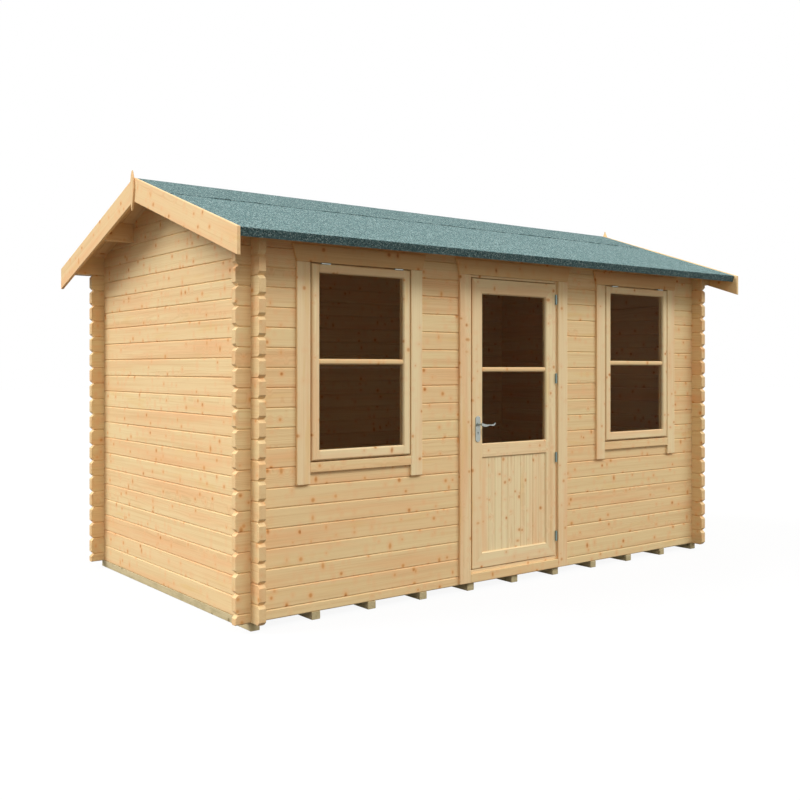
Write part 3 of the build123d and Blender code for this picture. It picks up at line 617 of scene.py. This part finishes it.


# Hinges and handle: zinc-plated butt hinges, and a cast lever handle of satin nickel on long plates.
# Each plate is screwed through its ends, with a keyhole below the lever, drawn as a thin dark disc and slot
# of painted shade.
lever_round = 0.003
plate_round = 0.0015
turned_steps = 20
screw_radius = 0.0042
screw_crown = 0.6 * screw_radius
screw_height = 0.0012
screw_inset = 0.013
keyhole_drop = 0.056
keyhole_radius = 0.0045
keyhole_lip = 0.9 * keyhole_radius
keyhole_slot = (0.0035, 0.0008, 0.014)


def metal(name, dark, light, dull):
    """Metal with fine brush marks, duller in some places than in others."""
    dull_range = 0.07
    finish, tree, shader = new_finish(name)
    place = wire(tree, "TexCoord", {})["Object"]
    brushed = noise(tree, stretch(tree, place, 400.0, 40.0), 4.0, 0.6)["Fac"]
    handled = noise(tree, stretch(tree, place, 45.0, 45.0), 3.0, 0.6)["Fac"]
    tree.links.new(mix(tree, brushed, dark, light), shader.inputs["Base Color"])
    rough = ramp(tree, handled, 0.25, 0.75, dull - dull_range, dull + dull_range)
    tree.links.new(rough, shader.inputs["Roughness"])
    shader.inputs["Metallic"].default_value = 1.0
    bump = wire(tree, "Bump", {"Strength": 0.1, "Distance": 0.0003, "Height": brushed})["Normal"]
    tree.links.new(bump, shader.inputs["Normal"])
    return finish


hinge_finish = metal("plated_hinge_steel", colour(104, 124, 122), colour(138, 156, 152), 0.42)
handle_finish = metal("satin_nickel", colour(146, 152, 146), colour(186, 190, 183), 0.32)
keyhole_shade_finish = metal("lock_shadow", colour(22, 22, 22), colour(34, 33, 32), 0.6)
for hinge in ("door_hinge_halves", "frame_hinge_halves", "left_window_hinges", "right_window_hinges"):
    refinish(hinge, handle_finish if "window" in hinge else hinge_finish)
plates = solids_of("door_handle_plates")
ease(plates, plate_round, planed_steps)
set_piece(plates, "handle_back_plates", handle_finish, body="door",
          stands_for=["door_handle_plates"], crease=sharp_angle)
lever = solids_of("door_lever")
ease(lever, lever_round, planed_steps)
set_piece(lever, "lever_handle", handle_finish, body="lever",
          stands_for=["door_lever"], crease=sharp_angle)
plate_low, plate_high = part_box("door_handle_plates")
plate_x = (plate_low.x + plate_high.x) / 2
lever_z = next(joint["pos_m"][2] for joint in frame["joints"] if joint["child"] == "lever")
screws = bmesh.new()
keyholes = bmesh.new()
for face_y, out in ((plate_low.y, -1.0), (plate_high.y, 1.0)):
    toward = Matrix.Rotation(math.radians(-90.0 * out), 4, "X")
    for screw_z in (plate_low.z + screw_inset, plate_high.z - screw_inset):
        seat = Matrix.Translation((plate_x, face_y, screw_z)) @ toward
        bmesh.ops.create_cone(screws, cap_ends=True, segments=turned_steps, radius1=screw_radius,
                              radius2=screw_crown, depth=screw_height, matrix=seat)
    # Painted shade: the keyhole is a thin near-black disc and slot laid on the plate, not a hole.
    keyhole_z = lever_z - keyhole_drop
    seat = Matrix.Translation((plate_x, face_y, keyhole_z)) @ toward
    bmesh.ops.create_cone(keyholes, cap_ends=True, segments=turned_steps, radius1=keyhole_radius,
                          radius2=keyhole_lip, depth=keyhole_slot[1], matrix=seat)
    below = Matrix.Translation((plate_x, face_y, keyhole_z - keyhole_slot[2] / 2))
    bmesh.ops.create_cube(keyholes, size=1.0, matrix=below @ Matrix.Diagonal((*keyhole_slot, 1.0)))
set_piece(screws, "handle_screws", handle_finish, body="door")
set_piece(keyholes, "handle_keyholes", keyhole_shade_finish, body="door")


# Windows: top-hung spruce sashes with one bar across, in rebated frames set in the log walls.
# Flat boards trim each opening, with the side boards run on below the sill board.
sash_round = 0.006
bar_height = 0.036


def is_bar(size):
    """Whether a member of a sash is its glazing bar, which is thinner than its rails."""
    return size.z < bar_height


for window in ("left_window", "right_window"):
    rebated, inner_trim, outer_trim = window + "_frame", window + "_inner_trim", window + "_outer_trim"
    planed(solids_of(rebated), window + "_lining", planed_finish, [rebated])
    planed(solids_of(inner_trim), window + "_inside_architrave", planed_finish, [inner_trim])
    side_boards, level_boards = parted(solids_of(outer_trim), lies_level)
    sill_board, head_board = parted(level_boards, is_deep)
    planed(side_boards, window + "_architrave", planed_finish, [outer_trim])
    planed(sill_board, window + "_sill_board", log_finish)
    planed(head_board, window + "_head_board", head_shade_finish)
    sash, cross_bar = parted(solids_of(window + "_sash"), is_bar)
    ease(sash, sash_round, planed_steps)
    mark_grain(sash, window + "_sash")
    set_piece(sash, window + "_hung_sash", planed_finish, stands_for=[window + "_sash"])
    ease(cross_bar, bar_round, bar_steps)
    mark_grain(cross_bar, window + "_bar")
    set_piece(cross_bar, window + "_cross_bar", log_finish, crease=sharp_angle)


# Studio: a pale floor and a white surround, with an even warm fill from all round.
# Three soft lamps stand side by side in front, equally steep under the eaves,
# and a broader one stands to the left and a little behind, for the gable.
floor_reach = 60.0
floor_bounce = (0.09, 0.09, 0.09, 1.0)
floor_white = (0.85, 0.85, 0.85, 1.0)
floor_glow = 0.92
fill = 0.68
warm_fill = (1.0, 0.955, 0.87, 1.0)
cool_lamp = (0.925, 0.95, 1.0)
white = (1.0, 1.0, 1.0, 1.0)
front_spread, side_spread = math.radians(22.0), math.radians(36.0)
lamps = (
    ("front_left_lamp", 0.51, front_spread, Vector((-0.20, -0.64, 0.75))),
    ("front_lamp", 0.71, front_spread, Vector((0.25, -0.64, 0.75))),
    ("front_right_lamp", 0.79, front_spread, Vector((0.75, -0.64, 0.75))),
    ("side_lamp", 2.88, side_spread, Vector((-0.70, 0.38, 0.67))),
)
camera_place = (-4.659, -5.901, 1.470)
camera_turn = math.radians(-37.57)
camera_lens, film_width, camera_shift = 43.38, 36.0, -0.040


def seen(tree):
    """One where the camera, a gloss or a pane of glass looks, and zero for light that falls on things."""
    path = wire(tree, "LightPath", {})
    looks = sums(tree, "MAXIMUM", path["Is Camera Ray"], path["Is Glossy Ray"])
    return sums(tree, "MAXIMUM", looks, path["Is Transmission Ray"])


ground = bmesh.new()
bmesh.ops.create_grid(ground, x_segments=1, y_segments=1, size=floor_reach)
ground_mesh = bpy.data.meshes.new("studio_floor")
ground.to_mesh(ground_mesh)
ground.free()
studio_floor = bpy.data.objects.new("studio_floor", ground_mesh)
bpy.context.scene.collection.objects.link(studio_floor)
floor_paint = bpy.data.materials.new("pale_floor")
floor_paint.use_nodes = True
tree = floor_paint.node_tree
tree.nodes.clear()
looked_at = seen(tree)
matt = wire(tree, "BsdfDiffuse", {"Color": mix(tree, looked_at, floor_bounce, floor_white)})[0]
glow = wire(tree, "Emission", {"Color": white, "Strength": 1.0})[0]
share = sums(tree, "MULTIPLY", looked_at, floor_glow)
blend = wire(tree, "MixShader", {0: share, 1: matt, 2: glow})[0]
wire(tree, "OutputMaterial", {"Surface": blend})
ground_mesh.materials.append(floor_paint)

world = bpy.data.worlds.new("studio")
bpy.context.scene.world = world
world.use_nodes = True
tree = world.node_tree
tree.nodes.clear()
looked_at = seen(tree)
level = sums(tree, "MULTIPLY_ADD", looked_at, 1.0 - fill, fill)
sky = wire(tree, "Background", {"Color": mix(tree, looked_at, warm_fill, white), "Strength": level})[0]
wire(tree, "OutputWorld", {"Surface": sky})

for name, strength, spread, toward in lamps:
    lamp = bpy.data.lights.new(name, "SUN")
    lamp.energy = strength
    lamp.color = cool_lamp
    lamp.angle = spread
    stand = bpy.data.objects.new(name, lamp)
    stand.rotation_euler = toward.to_track_quat("Z", "Y").to_euler()
    bpy.context.scene.collection.objects.link(stand)

bpy.context.scene.view_settings.view_transform = "Standard"
camera = bpy.data.cameras.new("camera")
camera.sensor_width = film_width
camera.lens = camera_lens
camera.shift_y = camera_shift
tripod = bpy.data.objects.new("camera", camera)
tripod.location = camera_place
tripod.rotation_euler = (math.radians(90.0), 0.0, camera_turn)
bpy.context.scene.collection.objects.link(tripod)
bpy.context.scene.camera = tripod
